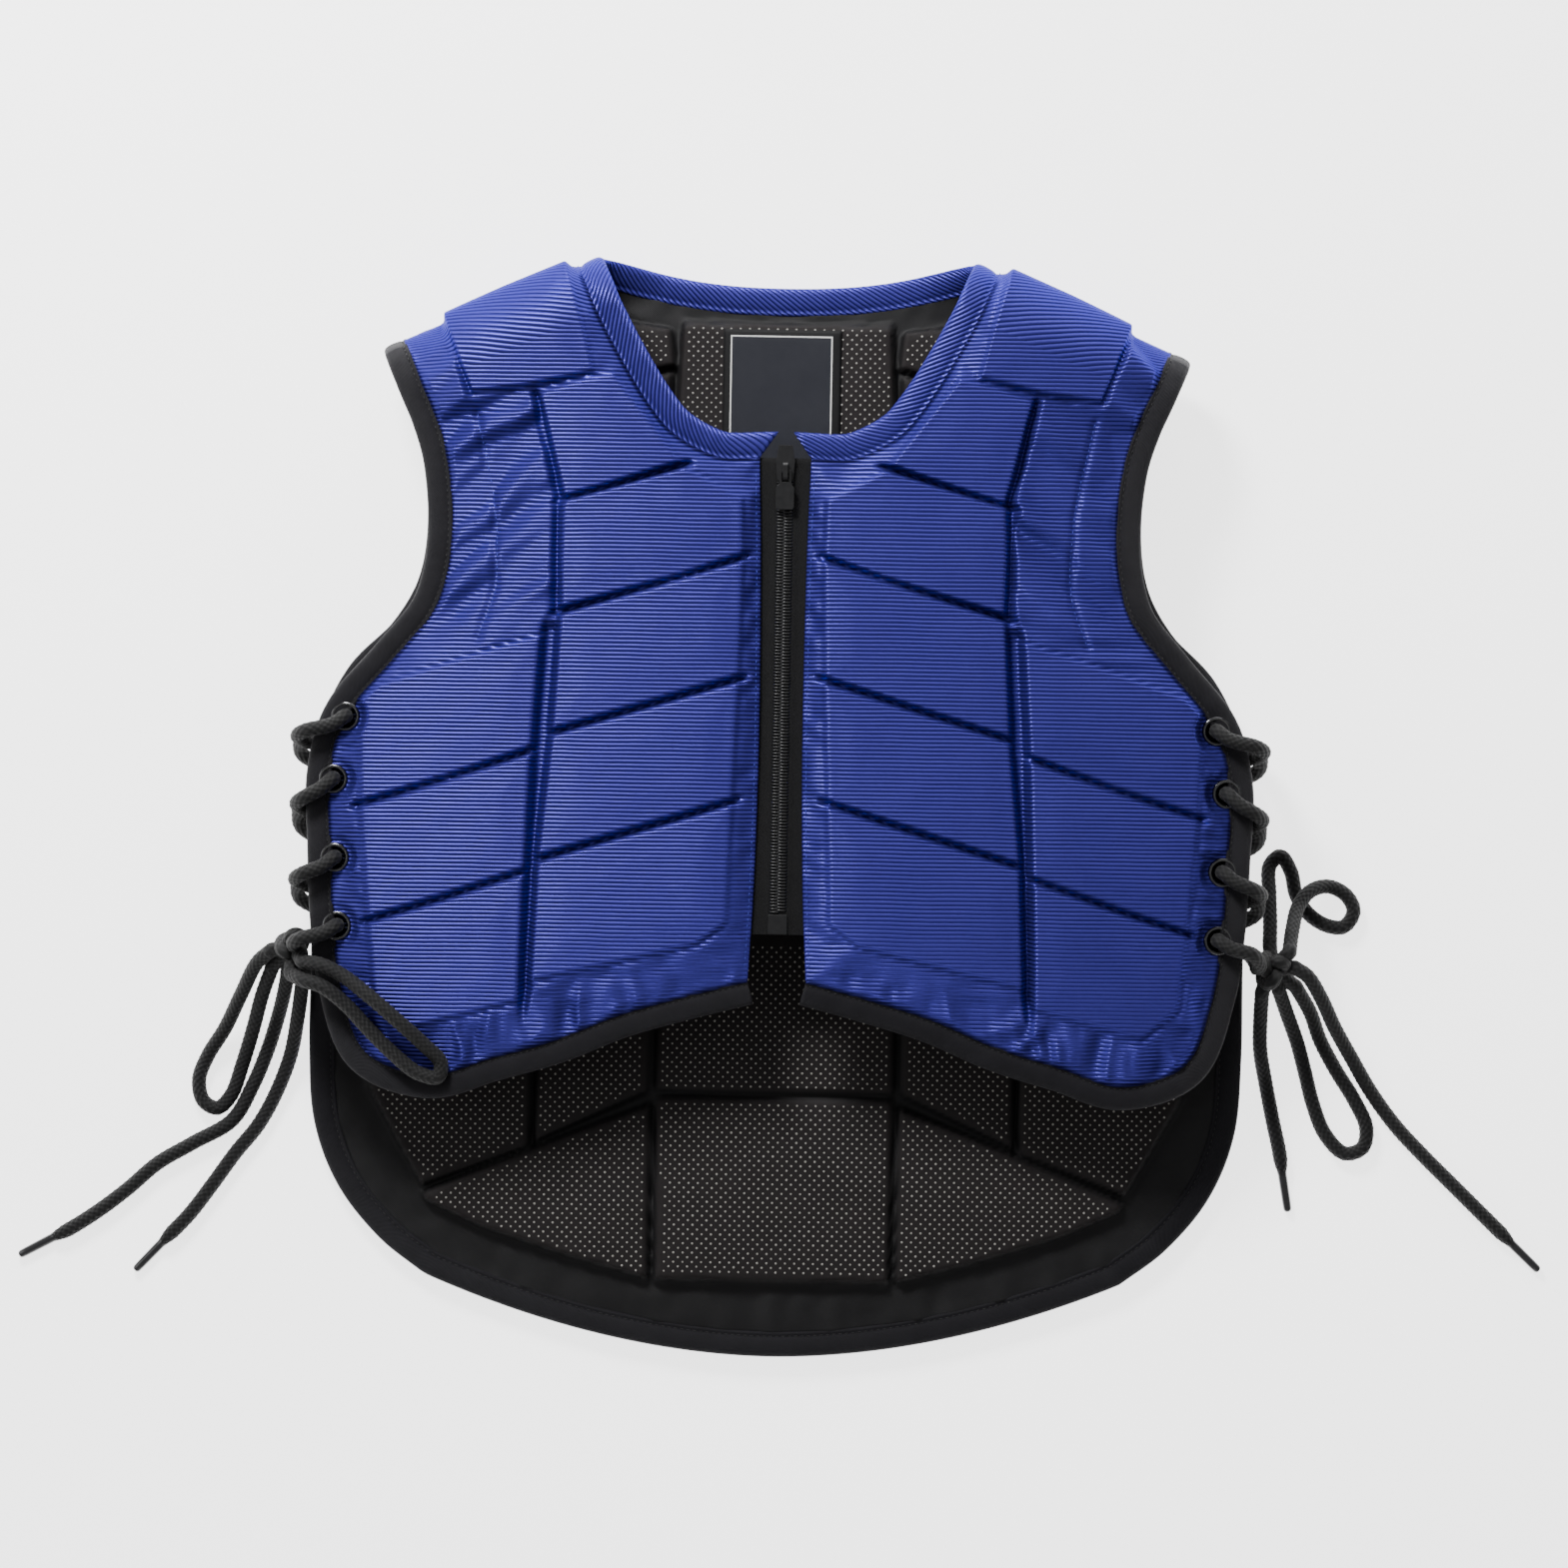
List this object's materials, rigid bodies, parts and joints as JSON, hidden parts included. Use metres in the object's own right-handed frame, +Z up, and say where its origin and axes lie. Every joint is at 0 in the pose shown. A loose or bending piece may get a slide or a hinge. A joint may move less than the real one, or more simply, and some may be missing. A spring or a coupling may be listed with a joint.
{
  "type": "equestrian body protector",
  "caption": "Padded foam riding vest lying on its back, with raised blocks, a front zip, bound edges and laced sides tied in bows.",
  "frame": {"origin": "on the surface the vest lies on, under the middle of the vest without its free lace ends", "axes": "+X to the right seen from above, the wearer's left side; +Y towards the neck; +Z up, out of the vest's front"},
  "size_m": [0.6498, 0.4651, 0.058],
  "materials": {
    "shell": "silky ribbed blue cloth",
    "lining": "black perforated lining over foam",
    "binding": "black satin-like edge binding",
    "label": "dark grey woven label, bare",
    "zip_tape": "black woven tape",
    "zip_coil": "black coil",
    "zip_metal": "black enamel",
    "eyelet": "polished black nickel",
    "lace": "black braided cord",
    "aglet": "dark glossy tip"
  },
  "bodies": {
    "vest": {"back_panel": "lining", "front_panel_right": "shell", "front_panel_left": "shell", "back_binding": "binding", "front_binding_right": "binding", "front_binding_left": "binding", "neck_band": "shell", "neck_label": "label", "zip_tape_right": "zip_tape", "zip_tape_left": "zip_tape", "zip_coil": "zip_coil", "zip_pin_box": "zip_metal", "zip_slider": "zip_metal", "eyelet_front_right_1": "eyelet", "eyelet_front_left_1": "eyelet", "eyelet_front_right_2": "eyelet", "eyelet_front_left_2": "eyelet", "eyelet_front_right_3": "eyelet", "eyelet_front_left_3": "eyelet", "eyelet_front_right_4": "eyelet", "eyelet_front_left_4": "eyelet", "eyelet_back_right_1": "eyelet", "eyelet_back_left_1": "eyelet", "eyelet_back_right_2": "eyelet", "eyelet_back_left_2": "eyelet", "eyelet_back_right_3": "eyelet", "eyelet_back_left_3": "eyelet", "eyelet_back_right_4": "eyelet", "eyelet_back_left_4": "eyelet", "lace_right": "lace", "lace_left": "lace", "knot_right": "lace", "knot_left": "lace", "loop_left_outer": "lace", "loop_left_inner": "lace", "loop_right_upper": "lace", "loop_right_lower": "lace", "tail_left_long": "lace", "tail_left_short": "lace", "tail_right_short": "lace", "tail_right_long": "lace", "aglet_left_long": "aglet", "aglet_left_short": "aglet", "aglet_right_short": "aglet", "aglet_right_long": "aglet"},
    "zip_pull": {"zip_pull": "zip_metal"}
  },
  "joints": [
    {"name": "pull_hinge", "type": "hinge", "parent": "vest", "child": "zip_pull", "pos_m": [0, 0.1415, 0.0537], "axis": [-1, 0, 0], "range_deg": [0, 140]}
  ]
}
